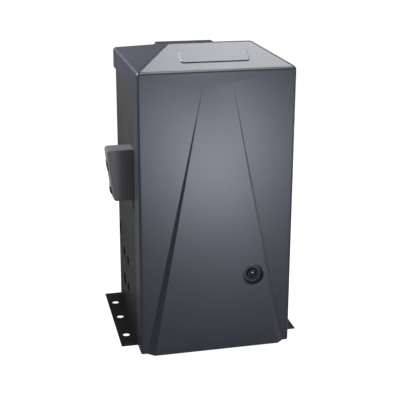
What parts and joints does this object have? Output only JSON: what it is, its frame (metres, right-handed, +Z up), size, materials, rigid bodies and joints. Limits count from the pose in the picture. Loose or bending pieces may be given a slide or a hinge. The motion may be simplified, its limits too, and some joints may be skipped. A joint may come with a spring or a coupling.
{
  "type": "slide gate operator cabinet",
  "caption": "Chain-drive slide gate operator: steel cabinet on bolt-down flanges, worm gear drive inside, and a moulded lift-off cover with a key lock.",
  "frame": {"origin": "Centre of the base plate's underside, on the pad that the machine is bolted to.", "axes": "+Z up, -Y towards the cover's front face with the lock, +X to the right seen from the front."},
  "size_m": [0.4542, 0.3855, 0.7212],
  "materials": {
    "moulded_cover": "fine-grained moulded charcoal plastic",
    "powder_coat": "dark satin powder coat on sheet steel",
    "zinc_plate": "zinc plated sheet steel",
    "machined_steel": "turned and ground steel",
    "chrome": "bright chrome",
    "black_oxide": "glossy black lock metal and oxide-blackened steel",
    "cast_iron": "painted grey-blue casting",
    "bronze": "cast and hobbed bronze",
    "motor_enamel": "dark enamel",
    "copper_winding": "varnished copper winding",
    "black_rubber": "black rubber belt",
    "white_nylon": "natural nylon",
    "black_plastic": "black moulded plastic",
    "board_green": "green solder mask",
    "terminal_green": "green moulded plastic"
  },
  "bodies": {
    "frame": {"station_housing": "moulded_cover", "left_side_panel": "powder_coat", "right_side_panel": "powder_coat", "rear_panel": "powder_coat", "base_plate": "powder_coat", "top_brace": "powder_coat", "motor_shelf": "powder_coat", "lock_catch": "zinc_plate", "drive_base": "zinc_plate", "idler_bracket": "zinc_plate", "left_idler_axle": "zinc_plate", "right_idler_axle": "zinc_plate", "limit_bracket": "zinc_plate", "board_bracket": "zinc_plate", "power_box": "zinc_plate", "power_box_cover": "zinc_plate", "output_front_bearing": "machined_steel", "output_rear_bearing": "machined_steel", "worm_left_bearing": "machined_steel", "worm_right_bearing": "machined_steel", "transformer": "machined_steel", "gearbox_housing": "cast_iron", "gearbox_cover": "cast_iron", "motor_shell": "motor_enamel", "motor_front_bell": "motor_enamel", "motor_rear_bell": "motor_enamel", "motor_base": "motor_enamel", "motor_stator": "copper_winding", "v_belt": "black_rubber", "open_limit_switch": "black_plastic", "close_limit_switch": "black_plastic", "motor_relay": "black_plastic", "power_switch": "black_plastic", "alarm_sounder": "black_plastic", "motor_capacitor": "black_plastic", "control_board": "board_green", "terminal_block": "terminal_green"},
    "cover_body": {"cover": "moulded_cover", "lock_body": "black_oxide", "lock_nut": "black_oxide"},
    "lock_barrel": {"lock_plug": "black_oxide", "lock_cam": "black_oxide"},
    "output": {"output_shaft": "machined_steel", "worm_wheel": "bronze", "drive_sprocket": "black_oxide", "limit_drive_gear": "machined_steel"},
    "worm": {"worm_shaft": "machined_steel", "worm_pulley": "zinc_plate"},
    "rotor": {"motor_rotor": "machined_steel", "motor_pulley": "zinc_plate"},
    "left_idler_wheel": {"left_idler": "machined_steel"},
    "right_idler_wheel": {"right_idler": "machined_steel"},
    "limit_spindle": {"limit_screw": "machined_steel"},
    "open_nut": {"open_limit_nut": "white_nylon"},
    "close_nut": {"close_limit_nut": "white_nylon"},
    "open_lever": {"open_limit_lever": "machined_steel"},
    "close_lever": {"close_limit_lever": "machined_steel"},
    "toggle": {"power_toggle": "chrome"},
    "reset": {"reset_button": "black_plastic"}
  },
  "joints": [
    {"name": "cover_lift", "type": "slide", "parent": "frame", "child": "cover_body", "axis": [0, 0, 1], "range_m": [0, 0.7]},
    {"name": "lock_turn", "type": "hinge", "parent": "cover_body", "child": "lock_barrel", "pos_m": [0.087, -0.2115, 0.186], "axis": [0, -1, 0], "range_deg": [0, 90]},
    {"name": "output_turn", "type": "hinge", "parent": "frame", "child": "output", "pos_m": [0, 0, 0.17], "axis": [0, 1, 0], "range_deg": [-2880, 2880]},
    {"name": "worm_turn", "type": "hinge", "parent": "frame", "child": "worm", "pos_m": [0, 0, 0.233], "axis": [-1, 0, 0], "range_deg": [-57610, 57610]},
    {"name": "motor_turn", "type": "hinge", "parent": "frame", "child": "rotor", "pos_m": [0, 0, 0.42], "axis": [-1, 0, 0], "range_deg": [-86410, 86410]},
    {"name": "left_idler_turn", "type": "hinge", "parent": "frame", "child": "left_idler_wheel", "pos_m": [-0.1, 0.072, 0.1085], "axis": [0, -1, 0], "range_deg": [-4610, 4610]},
    {"name": "right_idler_turn", "type": "hinge", "parent": "frame", "child": "right_idler_wheel", "pos_m": [0.1, 0.072, 0.1085], "axis": [0, -1, 0], "range_deg": [-4610, 4610]},
    {"name": "limit_screw_turn", "type": "hinge", "parent": "frame", "child": "limit_spindle", "pos_m": [-0.06, -0.14, 0.17], "axis": [0, -1, 0], "range_deg": [-2882, 2882]},
    {"name": "open_nut_travel", "type": "slide", "parent": "frame", "child": "open_nut", "axis": [0, 1, 0], "range_m": [-0.0204, 0.0204]},
    {"name": "close_nut_travel", "type": "slide", "parent": "frame", "child": "close_nut", "axis": [0, 1, 0], "range_m": [-0.0204, 0.0204]},
    {"name": "open_lever_press", "type": "hinge", "parent": "frame", "child": "open_lever", "pos_m": [-0.06, -0.131, 0.129], "axis": [-1, 0, 0], "range_deg": [0, 6], "stiffness_Nm_per_rad": 0.02, "springref_deg": -5.73},
    {"name": "close_lever_press", "type": "hinge", "parent": "frame", "child": "close_lever", "pos_m": [-0.06, -0.156, 0.129], "axis": [1, 0, 0], "range_deg": [0, 6], "stiffness_Nm_per_rad": 0.02, "springref_deg": -5.73},
    {"name": "power_toggle_flip", "type": "hinge", "parent": "frame", "child": "toggle", "pos_m": [0.125, -0.1565, 0.425], "axis": [-1, 0, 0], "range_deg": [0, 24]},
    {"name": "reset_press", "type": "slide", "parent": "frame", "child": "reset", "axis": [0.9929, 0, 0.1191], "range_m": [0, 0.003], "stiffness_N_per_m": 600, "springref_m": -0.002}
  ],
  "couplings": [
    {"joint": "worm_turn", "follows": "output_turn", "ratio": 20},
    {"joint": "motor_turn", "follows": "output_turn", "ratio": 30},
    {"joint": "left_idler_turn", "follows": "output_turn", "ratio": 1.6},
    {"joint": "right_idler_turn", "follows": "output_turn", "ratio": 1.6},
    {"joint": "limit_screw_turn", "follows": "output_turn", "ratio": 1},
    {"joint": "open_nut_travel", "follows": "output_turn", "m_per_rad": 0.00040425},
    {"joint": "close_nut_travel", "follows": "output_turn", "m_per_rad": 0.00040425}
  ]
}
